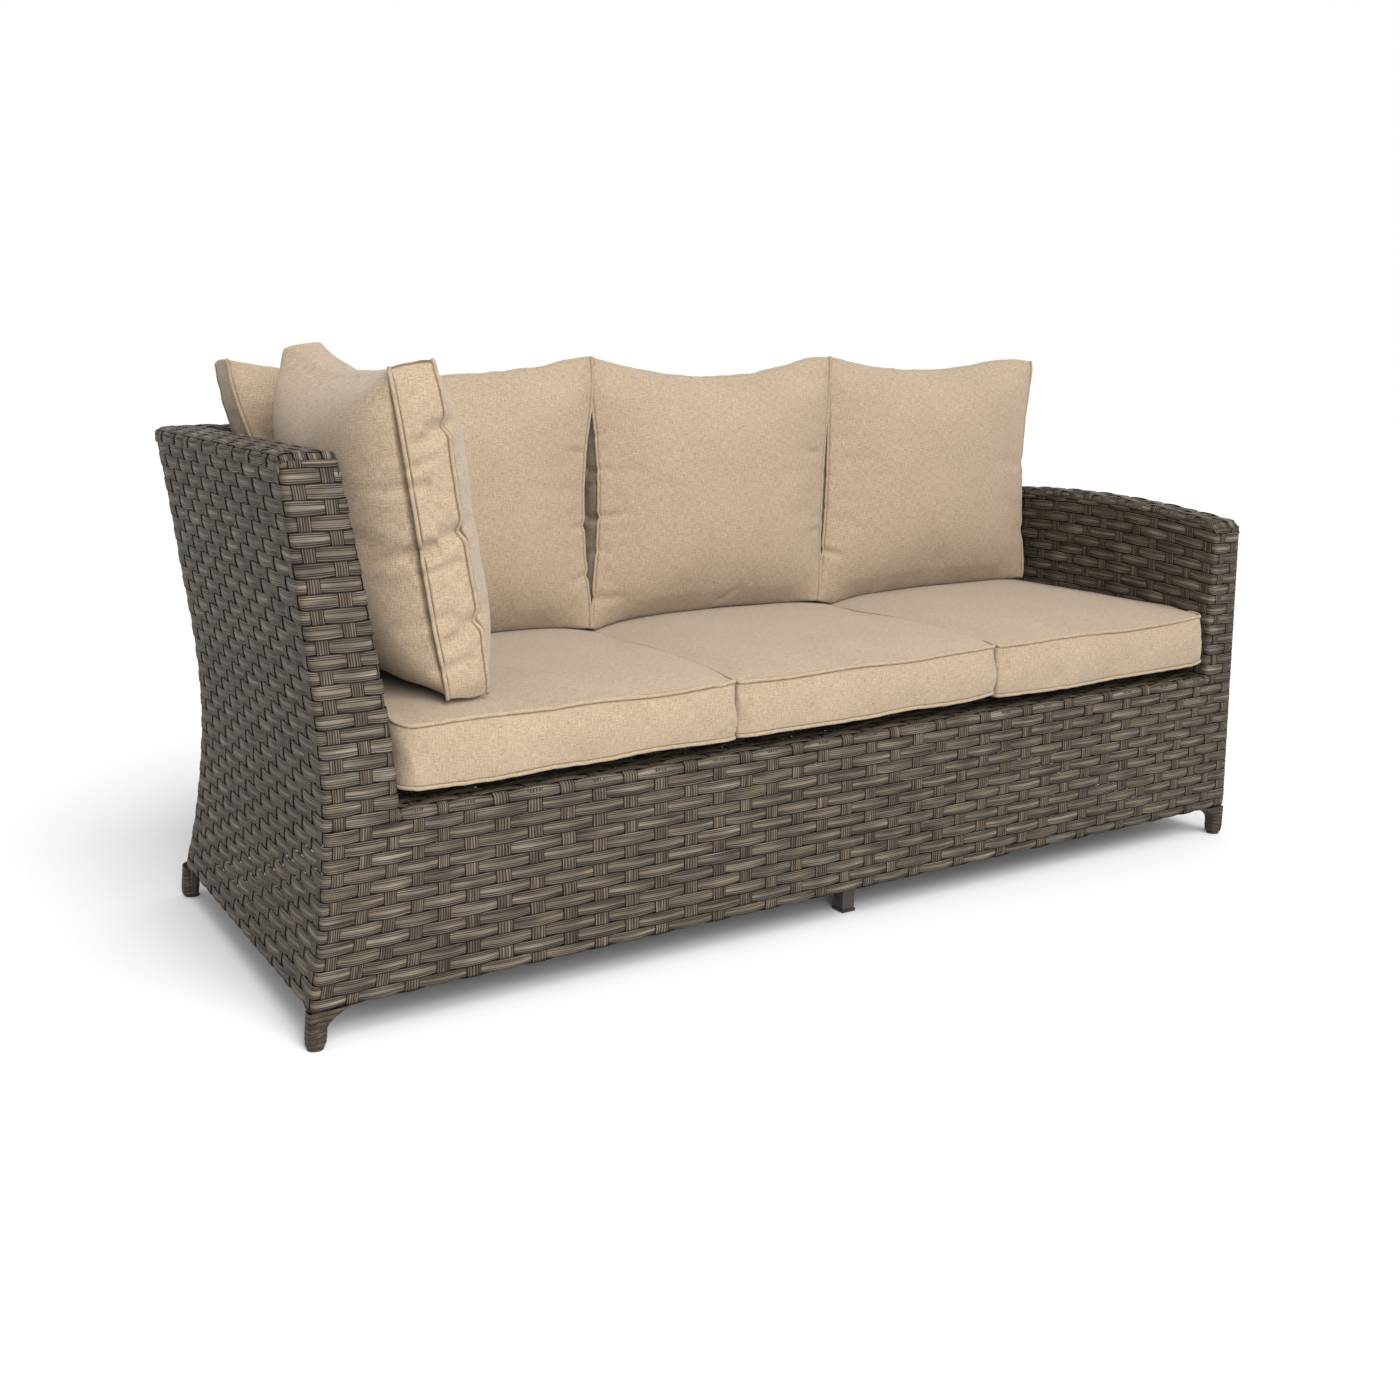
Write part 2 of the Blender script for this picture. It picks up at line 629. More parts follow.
def belt_path(z):
    path = outer_side(z) + [(column, (front_place(column, z), SINK)) for column in range(1, RIGHT_FRONT)]
    x1 = arm_outer(z) - SINK
    path += bent(RIGHT_FRONT, (x1, SINK), (-1, 0), (0, 1))
    for t in np.linspace(0, 1, 6)[1:]:
        path.append((RIGHT_FRONT + ARM_DEPTH * t, (x1, lerp(0, back_inner(z), t))))
    return path + [(RIGHT_SIDE - 0.2, (x1, back_outer(z) - 10))]


def with_stations(first, last, extra=()):
    steps = {round(float(c), 4) for c in np.arange(first, last + 0.001, 1.0)} | {float(last)}
    return sorted(steps | {round(float(e), 4) for e in extra if first < e < last})


def corner_stations(*columns):
    return [column + d * BEND for column in columns for d in (-1, -0.5, 0, 0.5, 1)]


def half_rows(first, last=TOP_ROW - 0.5):
    return [first + 0.5 * k for k in range(int((last - first) * 2) + 1)]


def spot_on(path, column, z):
    """Where a column stands on a plan path that changes with the height."""
    known, plan = zip(*path(z))
    return (*(float(np.interp(column, known, values)) for values in zip(*plan)), z)


def path_spots(path, columns, rows):
    return [[spot_on(path, column, row_height(row)) for row in rows] for column in columns]


# %% Belt
TUCK_ROW = 0.3  # the rows below this one turn inwards under the rail
rear_round = [LEFT_REAR + CORNER_COLUMNS * t for t in np.linspace(0, 1, 13)]
belt_columns = with_stations(LEFT_REAR, RIGHT_SIDE - 0.2, rear_round + corner_stations(0, RIGHT_FRONT))
belt_rows = [-1.0, -0.7, -0.45, -0.25, 0.0] + half_rows(0.5, BELT_TOP_ROW)
belt_spots = path_spots(belt_path, belt_columns, [max(row, TUCK_ROW) for row in belt_rows])
for column, spots in zip(belt_columns, belt_spots):
    for j, row in enumerate(belt_rows):
        if row > TUCK_ROW:
            break
        turn = (TUCK_ROW - row) / 1.3
        angle = min(turn * 2.2, 1.0) * math.pi / 2
        reach = 6 * (1 - math.cos(angle)) + max(0, turn - 0.45) * 22
        right = column > RIGHT_FRONT + 0.5
        dx = reach if column < -0.5 else (-reach if right else 0)
        dy = -reach if column < LEFT_SIDE - 0.5 else (0 if right or column < -0.5 else reach)
        x, y, z = spots[j]
        spots[j] = (x + dx, y + dy, z - 4.5 * math.sin(angle))
weave("belt_weave", belt_spots, belt_columns, belt_rows, 11,
      ("front_apron_weave", "left_side_weave", "arm_weave"), {"Row pitch": 0.0198})

# %% [markdown]
# ## The tall left panel
# Above the seat the same rows run on round the panel: from the seam at the back, along the
# outer side, across the narrow front face and back along the inner side.


# %% Left panel
def left_path(z):
    x0, x1 = left_outer(0, z) + SINK, left_inner(z) - SINK
    turn = (x1 - x0) / COLUMN_PITCH
    path = outer_side(z) + [(column, (x0 + COLUMN_PITCH * column, SINK)) for column in (0.5, 1, 1.5)]
    path += bent(turn, (x1, SINK), (-1, 0), (0, 1))
    for t in np.linspace(0, 1, 6)[1:]:
        path.append((turn + BEND + 13.8 * t, (x1, lerp(CORNER, back_inner(z) - 2, t))))
    return path


inner_edge = list(np.arange(1.6, 3.2, 0.1))  # this edge wanders along the columns with the height
LEFT_END = 16  # the last column, on the inner side
left_columns = with_stations(LEFT_REAR, LEFT_END, rear_round + corner_stations(0) + inner_edge)
left_rows = half_rows(BELT_TOP_ROW)
weave("left_panel_weave", path_spots(left_path, left_columns, left_rows), left_columns, left_rows, 12,
      ("left_side_weave",))

# %% [markdown]
# ## The arm and the back
# The arm is a lower wall with an arched top. Its rows spread a little towards the crown of
# the arch. The back is the long wall behind the cushions.


# %% Arm
ARM_ROWS = 16


def arm_path(z):
    """Inner side from the back to the front, then the front, then the outer side."""
    x0, x1, end = ARM_INNER + SINK, arm_outer(z) - SINK, back_inner(z) - 2
    return [(ARM_COLUMN - ARM_DEPTH, (x0, end)), *bent(ARM_COLUMN, (x0, SINK), (0, 1), (1, 0)),
            *bent(RIGHT_FRONT, (x1, SINK), (-1, 0), (0, 1)), (RIGHT_FRONT + ARM_DEPTH, (x1, end))]


arm_columns = with_stations(ARM_COLUMN - ARM_DEPTH, RIGHT_FRONT + ARM_DEPTH,
                            corner_stations(ARM_COLUMN, RIGHT_FRONT))
arm_rows = half_rows(BELT_TOP_ROW, BELT_TOP_ROW + ARM_ROWS - 0.5)
arm_spots = []
for column in arm_columns:
    foot, top = row_height(BELT_TOP_ROW), arm_top(spot_on(arm_path, column, 500)[1])
    heights = [lerp(foot, top, (row - BELT_TOP_ROW) / ARM_ROWS) for row in arm_rows]
    arm_spots.append([spot_on(arm_path, column, z) for z in heights])
weave("arm_skin_weave", arm_spots, arm_columns, arm_rows, 13, ("arm_weave",))

# %% Back
BACK_END = 2
back_first = LEFT_REAR - BACK_COLUMNS


def back_path(z):
    """Outer side from the right end to the seam at LEFT_REAR."""
    x1, y1 = arm_outer(z) - SINK + swell(z), back_outer(z) - SINK + swell(z)
    return [(back_first - BACK_END, (x1, back_inner(z) + 2)),
            *bent(back_first, (x1, y1), (0, -1), (-1, 0)), (LEFT_REAR, (left_inner(z), y1))]


def back_inner_path(z):
    y = back_inner(z) + SINK
    return [(0, (left_inner(z) + 2, y)), (BACK_COLUMNS, (arm_outer(z) - SINK, y))]


back_columns = with_stations(back_first - BACK_END, LEFT_REAR, corner_stations(back_first))
inner_columns = with_stations(0, BACK_COLUMNS)
for name, path, columns, rows, seed, sizes in (
        ("back_outer_weave", back_path, back_columns, half_rows(0.0), 14, {"Weft steps": 5}),
        ("back_inner_weave", back_inner_path, inner_columns, half_rows(DECK_ROW), 15,
         {"Weft steps": 4, "Warp steps": 2})):
    weave(name, path_spots(path, columns, rows), columns, rows, seed, ("back_weave",), sizes)

# %% [markdown]
# ## Capped edges
# Over the top of each wall the warps bend from one face to the other.

# %% Caps
CAP_Z = PANEL_TOP - SINK


def edge_pair(column):
    """Outer and inner edge of the panels' top at a column, counted from the left side's front."""
    rear_y = back_outer(PANEL_TOP) - corner_radius(PANEL_TOP)
    rear_x = left_outer(DEPTH, PANEL_TOP) + corner_radius(PANEL_TOP)
    inner_x, inner_y = left_inner(PANEL_TOP) - SINK, back_inner(PANEL_TOP) + SINK
    if column <= SIDE_COLUMNS:
        y = lerp(SINK, rear_y, column / SIDE_COLUMNS)
        x = left_outer(y, PANEL_TOP) + SINK - side_swell(y, CAP_Z)
        return (x, y), (inner_x, min(y * inner_y / rear_y, inner_y))
    past = column - SIDE_COLUMNS
    if past <= CORNER_COLUMNS:
        turn = past / CORNER_COLUMNS * math.pi / 2
        radius = corner_radius(PANEL_TOP) - SINK + swell(CAP_Z)
        return (rear_x - radius * math.cos(turn), rear_y + radius * math.sin(turn)), (inner_x, inner_y)
    t, end = (past - CORNER_COLUMNS) / BACK_COLUMNS, arm_outer(PANEL_TOP) - SINK
    outer = (lerp(rear_x, end, t), back_outer(PANEL_TOP) - SINK + swell(CAP_Z))
    return outer, (max(inner_x, lerp(inner_x, end, t)), inner_y)


def cap_line(outer, inner, top, radius=10, skirt=12):
    """Points from the outer face over the top to the inner face."""
    outer, inner = np.array(outer, float), np.array(inner, float)
    width = float(np.linalg.norm(inner - outer))
    towards = (inner - outer) / width
    line = [(0.0, radius + skirt)] + [(radius * (1 - math.cos(a)), radius * (1 - math.sin(a)))
                                      for a in np.linspace(0, math.pi / 2, 5)]
    line += [(width - across, drop) for across, drop in reversed(line)]
    return [(*(outer + towards * across), top - drop) for across, drop in line]


def even_rows(line, first, last):
    """Rows in proportion to the way along a line of points."""
    gone = np.concatenate([[0], np.cumsum([math.dist(p, q) for p, q in zip(line, line[1:])])])
    return list(first + (last - first) * gone / gone[-1])


def cap_rows(width, first, last, radius=10, skirt=12):
    return even_rows(cap_line((0, 0), (width, 0), 0, radius, skirt), first, last)


def front_drop(y, radius=9):
    """How far the top's front edge rolls down."""
    near = max(0.0, radius - (y - SINK))
    return radius - math.sqrt(max(0.0, radius ** 2 - near ** 2))


top_end = SIDE_COLUMNS + CORNER_COLUMNS + BACK_COLUMNS
round_the_corner = list(np.arange(SIDE_COLUMNS, SIDE_COLUMNS + CORNER_COLUMNS, 0.25))
top_columns = with_stations(0, top_end, [0.02, 0.05, 0.1, 0.15, 0.22] + round_the_corner)
top_rows = cap_rows(80, TOP_ROW - 1, TOP_ROW + 5)
top_spots = []
for column in top_columns:
    outer, inner = edge_pair(column)
    sag = front_drop(outer[1]) if column < 1 else 0.0
    top_spots.append([(x, y, z - sag) for x, y, z in cap_line(outer, inner, CAP_Z)])
weave("panel_cap_weave", top_spots, top_columns, top_rows, 16, ("left_side_weave", "back_weave"))

ARM_BEND, ARM_SKIRT = 4, 10  # the round and the straight part of the cap on each side
arm_cap_columns = with_stations(0, ARM_DEPTH, [0.05, 0.1, 0.2, 0.3])
arm_cap_spots = []
for column in arm_cap_columns:
    y = lerp(SINK, back_inner(ARM_PEAK) - 2, column / ARM_DEPTH)
    ends_at = (arm_outer(ARM_PEAK) - SINK, y), (ARM_INNER + SINK, y)
    line = cap_line(*ends_at, arm_top(y) - 1, ARM_BEND, ARM_SKIRT)
    arm_cap_spots.append([(x, y, z - front_drop(y)) for x, y, z in line][::-1])
crown = BELT_TOP_ROW + ARM_ROWS
arm_cap_rows = cap_rows(62, crown, crown + 4, ARM_BEND, ARM_SKIRT)
weave("arm_cap_weave", arm_cap_spots, arm_cap_columns, arm_cap_rows, 18, ("arm_weave",))

# %% Skirt lip and seat deck
lip_columns = with_stations(2.8, 35.9)
lip_path = [(SINK, row_height(BELT_TOP_ROW)), (SINK, 324), (SINK + 1, 328), (SINK + 3.5, 330.4),
            (SINK + 8, 331.3), (28, 331), (48, 330.9), (70, 330.9)]
lip_spots = [[(front_place(column, z) if column > 3 else left_inner(0) + 1.5, y, z)
              for (y, z) in lip_path] for column in lip_columns]
lip_rows = even_rows(lip_path, BELT_TOP_ROW, BELT_TOP_ROW + 4)
weave("skirt_lip_weave", lip_spots, lip_columns, lip_rows, 19, ("front_apron_weave",))

DECK_COLUMNS, DECK_ROWS, DECK_FRONT, DECK_REAR, DECK_HEIGHT = 31, 13, 70, 618, 331.8
deck_columns, deck_rows = with_stations(0, DECK_COLUMNS), with_stations(0, DECK_ROWS)
deck_spots = [[(lerp(left_inner(0) + 1, ARM_INNER - 1, column / DECK_COLUMNS),
                lerp(DECK_FRONT, DECK_REAR, row / DECK_ROWS), DECK_HEIGHT)
               for row in deck_rows] for column in deck_columns]
weave("deck_weave", deck_spots, deck_columns, deck_rows, 20, ("seat_deck_weave",),
      {"Weft steps": 4, "Warp steps": 2, "Column pitch": 0.053, "Row pitch": 0.042,
       "Weft width": 0.9, "Warp width": 0.8})

# %% [markdown]
# ## Wound feet
# Each corner foot is a short post with a curved bracket, wound with the same strand from the
# skirt down to the glide. Every turn is a band that follows the foot's outline at its height,
# tilted a little, and the bands lap over each other like the turns of a bandage.

# %% Feet
FOOT_WIDTH, BRACKET_REACH, BRACKET_DROP, FOOT_BOTTOM = 28.6, 34, 28, 4
BAND_PITCH, BAND_WIDTH, BAND_THICKNESS = 7.6, 9.4, 2.2


def foot_outline(right, rear, z, steps=5):
    """The foot's outline at a height: a rounded box that widens into the bracket near the skirt."""
    rise = clamp01((z - SKIRT_BOTTOM + BRACKET_DROP) / BRACKET_DROP)
    taper = 1.6 * clamp01((20 - z) / 16) ** 2
    wide, deep = FOOT_WIDTH + BRACKET_REACH * rise ** 2 - 2 * taper, FOOT_WIDTH - 2 * taper
    radius, points = 8, []
    for cx, cy, start in ((wide - radius, radius, -90), (wide - radius, deep - radius, 0),
                          (radius, deep - radius, 90), (radius, radius, 180)):
        for a in np.radians(np.linspace(start, start + 90, steps)):
            points.append((cx + radius * math.cos(a) + taper, cy + radius * math.sin(a) + taper))
    outer = arm_outer(z) if right else left_outer(DEPTH if rear else 0, z)
    return [((outer - x) if right else (outer + x), (DEPTH - y) if rear else y) for x, y in points]


def wound_foot(name, right, rear, seed):
    verts, faces, facts = [], [], []
    profile = [(math.cos(a), math.sin(a)) for a in np.linspace(0, 2 * math.pi, 10, endpoint=False)]
    count = round((SKIRT_BOTTOM + 1 - FOOT_BOTTOM) / BAND_PITCH)
    for band in range(count):
        middle = FOOT_BOTTOM + 3.6 + band * BAND_PITCH
        first, chance, gone = len(verts), random.Random(seed * 50 + band).random(), 0.0
        outline = foot_outline(right, rear, middle)
        centre = np.mean(outline, axis=0)
        for n, spot in enumerate(outline):
            gone += math.dist(spot, outline[n - 1]) / 1000 if n else 0
            tilt = 2.2 * math.sin(2 * math.pi * n / len(outline) + 0.6)
            for across, lift in profile:
                z = middle + tilt + across * BAND_WIDTH / 2
                x, y = foot_outline(right, rear, min(max(z, FOOT_BOTTOM), SKIRT_BOTTOM + 2))[n]
                inward = (centre - (x, y)) / np.linalg.norm(centre - (x, y))
                sunk = 1.3 - lift * BAND_THICKNESS / 2 - 0.5 * across
                verts.append(place(x + inward[0] * sunk, y + inward[1] * sunk, max(z, FOOT_BOTTOM)))
                facts.append((across, gone, chance + 2))
        faces += ring_faces(first, len(outline), len(profile))
    mesh = smooth_mesh(name, verts, faces)
    write(mesh, "strand", facts)
    face_outwards(mesh)
    mesh.materials.append(rattan)
    return link(bpy.data.objects.new(name, mesh))


for seed, (corner, right, rear) in enumerate((("front_left", 0, 0), ("rear_left", 0, 1),
                                              ("front_right", 1, 0), ("rear_right", 1, 1)), 1):
    winding = wound_foot("foot_winding_" + corner, right, rear, seed)
    wraps = [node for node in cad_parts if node.startswith("foot_wrap") and corner in node]
    hand_over(winding, "rattan", "sofa_frame", *wraps)
    print(winding.name, len(winding.data.polygons), "faces for", wraps)

# %% [markdown]
# ## Frame, feet and glides
# The tubes are powder coated steel, the glides are moulded plastic.


# %% Hard materials
def hard_finish(name, grain, cloud, tones, shine_from, shine, bump, metal):
    """Two noises in object space: fine grain for the relief, a larger cloud for the tone."""
    material, g, shader = new_material(name)
    spot = g.out("ShaderNodeTexCoord", socket="Object")
    noises = {"grain": g.noise(spot, *grain), "cloud": g.noise(spot, *cloud)}
    colour = g.ramp(noises["cloud"], [(at, srgb(*tone)) for at, tone in tones])
    shader.inputs["Metallic"].default_value = metal
    dress(g, shader, colour, noises["grain"], *bump, g.mad(noises[shine_from], shine, 0.35))
    return material


steel = hard_finish("coated_steel", (900.0, 3.0), (14.0, 3.0),
                    [(0.35, (48, 43, 39)), (0.65, (64, 58, 52))], "grain", 0.3, (0.35, 0.0004), 0.2)
plastic = hard_finish("moulded_plastic", (1500.0, 2.0), (60.0, 4.0),
                      [(0.3, (24, 23, 22)), (0.75, (46, 44, 41))], "cloud", 0.35, (0.3, 0.0003), 0.0)
for name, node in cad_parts.items():
    if "cushion" in name:
        continue
    if name.startswith("glide") or name.endswith("cap"):
        finish = plastic
    elif name.endswith("weave") or name.startswith("foot_wrap"):
        finish = rattan
    else:
        finish = steel
    node.data.materials.clear()
    node.data.materials.append(finish)
print("hard materials on", len(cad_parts), "nodes")


# %% [markdown]
# ## Cushion fabric
# The covers are heathered outdoor linen: beige threads of uneven thickness, some lighter and some
# darker, in a plain weave. The cloth map is in metres, so threads keep their size on every panel.
# Along each seam the cloth dives under the piping, where it looks dark.


# %% Linen
def linen_material():
    material, g, shader = new_material("woven_linen")
    cloth = g.out("ShaderNodeUVMap", uv_map="cloth")
    seam = g.out("ShaderNodeAttribute", attribute_name="seam", socket="Fac")

    def threads(across, along):
        stretched = g.out("ShaderNodeMapping", {"Vector": cloth, "Scale": (across, along, 1.0)})
        return g.noise(stretched, 1.0, 3.0, Roughness=0.6)

    slubs = g.add(threads(1000.0, 80.0), threads(80.0, 1000.0))
    heather, cloud = g.noise(cloth, 560.0, 2.0), g.noise(cloth, 9.0, 3.0)
    tone = g.mad(slubs, 0.36, g.mad(heather, 0.22, g.mul(cloud, 0.06)))
    colour = g.ramp(tone, [(0.34, srgb(101, 86, 69)), (0.46, srgb(130, 113, 92)),
                           (0.58, srgb(155, 137, 115))])
    shade = g.ramp(seam, [(0.0, (1, 1, 1)), (0.16, (0.72, 0.66, 0.6)), (0.4, (0.32, 0.26, 0.2))])
    shader.inputs["Sheen Weight"].default_value = 0.12
    shader.inputs["Sheen Roughness"].default_value = 0.5
    wave = {"Vector": cloth, "Scale": 330.0, "Distortion": 1.5, "Detail": 1.0}
    fine = [g.out("ShaderNodeTexWave", wave, bands_direction=axis) for axis in ("X", "Y")]
    height = g.mad(slubs, 0.8, g.mul(g.add(*fine), 0.25))
    dress(g, shader, g.shaded(colour, shade), height, 0.5, 0.0006, 0.92)
    return material


linen = linen_material()
print("material", linen.name, len(linen.node_tree.nodes), "nodes")

# %% [markdown]
# ## Cushion patterns
# A boxed cushion is sewn from two crowned panels and a band between them, the gusset. The mesh
# is laid out the same way: even cells, with a narrow strip along each seam that keeps the edge
# crisp. Sides pull in between the corners, and the back cushions' upper corners stand up as ears.

# %% Cushion sizes
CELL, STRIP, PIPING = 15, 4.0, 3.1
SQUEEZE = 3.2  # how far neighbouring cushions are cut into each other
# how far the sides of the back cushions stand to the right at their foot, middle and top
STRAIGHT, FREE_LEFT, SEAM_12 = (0, 0, 0), (0, -4, -22), (-3, 13, 36)
SEAM_23, FREE_RIGHT = (-3, 26, 54), (-9, -7, 6)
# reach widens the top and draw_in narrows the middle of the left and right side; dip lowers the
# top's middle, low all of it, ears raise its corners; heel and rolls round the foot and the ends
PLAIN_FORM = dict(reach=(0, 0), slack=(1, 1), dip=0, low=0, ears=(0, 0), hump=6, round_ear=0, heel=0,
                  roll=(0, 0), lift=0, tuck=0, rise=0, bow=0, step=0, sway=(STRAIGHT, STRAIGHT))
SEAT_FORM = dict(PLAIN_FORM, height=619, border=90, crowns=(18, 22), draw_in=(1, 1), fullness=7, corner=7,
                 wander=6, lift=1.0, marks=(0.8, 0.04))
BACK_FORM = dict(PLAIN_FORM, height=476, border=76, crowns=(48, 52), fullness=3, corner=3, wander=2.0,
                 roll=(22, 10), heel=9, marks=(0.5, 0.04))
SIDE_FORM = dict(PLAIN_FORM, width=404, height=474, border=68, crowns=(74, 78), draw_in=(12, 12),
                 fullness=4, dip=16, corner=5, wander=2.5, roll=(14, 22), heel=9, ears=(4, 46), hump=2.6,
                 bow=5, step=14, round_ear=20, marks=(1.0, 0.04))


def turn_about(axis, degrees):
    return Matrix.Rotation(math.radians(degrees), 3, axis)


FLAT, LEAN = Matrix.Identity(3), turn_about("X", 90 - 6.5)
SIDEWAYS = Matrix(((0, 0, 1), (1, 0, 0), (0, 1, 0)))
SIDE_TURN = turn_about("Z", 4.5) @ turn_about("Y", -8.4) @ SIDEWAYS
patterns = {
    "seat_cushion_1": (dict(SEAT_FORM, width=558.9, slack=(1, 0), tuck=14), FLAT),
    "seat_cushion_2": (dict(SEAT_FORM, width=536.0, slack=(0, 0), rise=5), FLAT),
    "seat_cushion_3": (dict(SEAT_FORM, width=529.2, slack=(0, 1), rise=8), FLAT),
    "back_cushion_1": (dict(BACK_FORM, width=563.1, reach=(30, 0), draw_in=(14, 16), dip=27, low=8,
                            ears=(4, 4), hump=14, slack=(1, 0), sway=(FREE_LEFT, SEAM_12)), LEAN),
    "back_cushion_2": (dict(BACK_FORM, width=505.1, draw_in=(18, 8), dip=44, ears=(-4, -8),
                            slack=(0, 0), sway=(SEAM_12, SEAM_23)), LEAN),
    "back_cushion_3": (dict(BACK_FORM, width=552.0, reach=(0, 30), draw_in=(7, 14), dip=37,
                            ears=(-8, -22), slack=(0, 1), sway=(SEAM_23, FREE_RIGHT)), LEAN),
    "side_cushion": (SIDE_FORM, SIDE_TURN),
}


# %% Cushion grid
def spaced(half):
    """Places from -1 to 1: even cells, and a narrow strip beside each seam."""
    inner = half - STRIP
    return np.concatenate([[-1.0], np.linspace(-inner, inner, round(2 * inner / CELL) + 1) / half, [1.0]])


def drift(seed, x, y, z=0.0):
    """Smooth noise from about -1 to 1, another field for each seed."""
    return noise.noise(Vector((x + 7.3 * seed, y - 3.1 * seed, z + 11.7 * seed)))


def swayed(stages, v):
    foot, middle, top = stages
    return middle + v * (top - foot) / 2 + v * v * ((top + foot) / 2 - middle)


def form_point(form, u, v, level, seed, trim=PIPING):
    """Millimetres from the centre. level is 1 and -1 on the panels, between them on the gusset.

    With trim=0 it gives the plain form of the solid, which shows where the cushion goes."""
    side = 0 if u < 0 else 1
    half, real, seat = form["border"] / 2, trim > 0, form["lift"] > 0
    opening = max(0.0, 1 - ((v + 0.13) / 0.83) ** 2) if real else 1 - v * v
    slack = trim * form["slack"][side] - SQUEEZE * (real and not form["slack"][side])
    x = u * (form["width"] / 2 - slack + form["reach"][side] * (v + 1) / 2
             - form["draw_in"][side] * opening)
    y = v * (form["height"] / 2 - trim - (form["dip"] * (1 - u * u) + form["low"] * real if v > 0 else 0))
    fade = max(0.0, (1 - abs(u) ** form["fullness"]) * (1 - abs(v) ** form["fullness"])) ** 0.75
    front, rear = form["crowns"]
    if not real:
        return (x, y, level * half + (front if level > 0 else -rear) * fade)
    front *= 1 - (0.35 * clamp01(1.5 * v) if seat else 0)
    wobble, pull = form["wander"] * max(abs(u), abs(v)) ** 8, form["corner"] * abs(u * v) ** 16
    pull += form["round_ear"] * max(0.0, u) ** 8 * max(0.0, v) ** 8
    x += wobble * 0.7 * drift(seed, y / 90, level) - math.copysign(pull, u)
    y += wobble * 0.7 * drift(seed + 5, x / 90, level) - math.copysign(pull, v)
    x += lerp(swayed(form["sway"][0], v), swayed(form["sway"][1], v), (u + 1) / 2)
    y += form["ears"][side] * abs(u) ** form["hump"] * max(0.0, v) ** 4
    y -= form["heel"] * (0.5 + level / 2) * max(0.0, -v) ** 8
    edge = abs(v) ** 10
    rolls = [roll * (1 - u ** 6) * edge for roll in form["roll"]]
    lift = form["lift"] * clamp01((v + 1) / (0.14 if u < 0 and form["tuck"] else 0.3)) ** 2 * abs(u) ** 8
    if seat and not form["slack"][side]:
        lift *= 1 - clamp01(2.2 * v + 0.15)
    wave = wobble * drift(seed + 9, x / 130, y / 130) * (1 - lift * (level > 0))
    bow = form["bow"] * (1 - v * v) + form["rise"] * max(0.0, u) ** 3 * max(0.0, -v) ** 2
    x += form["tuck"] * max(0.0, -u) ** 12 * max(0.0, -v) ** 28
    top = half + wave - rolls[0] + front * (max(fade, lift) if level == 1 else lift)
    bottom = half + wave - rolls[1] + (rear * fade if level == -1 else 0)
    if abs(level) == 1:
        y += math.copysign(5, v) * (form["roll"][0] > 0) * (1 - u ** 6) * 4 * edge * (1 - edge)
        return (x, y, bow + (top if level > 0 else -bottom))
    bulge = 1 + 0.012 * (1 - level ** 2)
    return (x * bulge, y * bulge, bow + lerp(-bottom, top, (level + 1) / 2))


def cushion_pattern(form, seed):
    """The sewn cover as a mesh: vertices in millimetres, faces, cloth map, and 1 where a seam runs."""
    us, vs, levels = spaced(form["width"] / 2), spaced(form["height"] / 2), spaced(form["border"] / 2)
    high, wide, deep = len(vs) - 1, len(us) - 1, len(levels) - 1
    index, verts, seam, shade, faces, cloth = {}, [], [], [], [], []

    def vert(i, j, k):
        """Vertex on the lattice's skin, k counting through the gusset from the rear panel."""
        if (i, j, k) not in index:
            index[i, j, k] = len(verts)
            on_side, on_end = i in (0, wide), j in (0, high)
            on_seam = (on_side or on_end) and k in (0, deep)
            if form["lift"]:
                hidden = k == deep and vs[j] > -0.85 and on_side
            else:
                hidden = on_end and not on_side or form is SIDE_FORM and i == wide and vs[j] > 0.7
            crossing = form is SIDE_FORM and i == 0 and j == high
            verts.append(form_point(form, us[i], vs[j], float(levels[k]), seed))
            seam.append(1.0 if on_seam else 0.0)
            shade.append(form["marks"][int(hidden)] if on_seam or crossing else 0.0)
        return index[i, j, k]

    for k in (deep, 0):
        for i in range(wide):
            for j in range(high):
                quad = [vert(a, b, k) for a, b in ((i, j), (i + 1, j), (i + 1, j + 1), (i, j + 1))]
                faces.append(quad if k else quad[::-1])
                cloth.append([tuple(c / 1000 for c in verts[n][:2]) for n in faces[-1]])
    rim = ([(i, 0) for i in range(wide)] + [(wide, j) for j in range(high)]
           + [(i, high) for i in range(wide, 0, -1)] + [(0, j) for j in range(high, 0, -1)])
    gone = 0.0
    for (a, b), (c, d) in zip(rim, rim[1:] + rim[:1]):
        step = math.dist(verts[vert(a, b, 0)][:2], verts[vert(c, d, 0)][:2])
        lengths = (gone, gone + step, gone + step, gone)
        for k in range(deep):
            faces.append([vert(a, b, k), vert(c, d, k), vert(c, d, k + 1), vert(a, b, k + 1)])
            cloth.append([(s / 1000, verts[n][2] / 1000) for s, n in zip(lengths, faces[-1])])
        gone += step
    return verts, faces, cloth, seam, shade


def cover_mesh(name, form, seed):
    verts, faces, cloth, rim, seam = cushion_pattern(form, seed)
    mesh = smooth_mesh(name, [Vector(v) / 1000 for v in verts], faces)
    mesh.uv_layers.new(name="cloth").data.foreach_set("uv", np.array(cloth).ravel())
    for label, values in (("rim", rim), ("seam", seam), ("form", verts)):
        write(mesh, label, values)
    return mesh


covers = {name: cover_mesh(name + "_linen", form, seed)
          for seed, (name, (form, _)) in enumerate(patterns.items(), 1)}
print("covers", {name: len(mesh.polygons) for name, mesh in covers.items()})

# %% [markdown]
# ## Stuffing the cushions
# The filling is played by air: a cloth simulation without gravity, with pressure inside. The
# seams and the strips beside them are pinned, as piping holds a real seam in place. The cloth is
# cut a little too large, which gives it the small folds that run in from the seams.


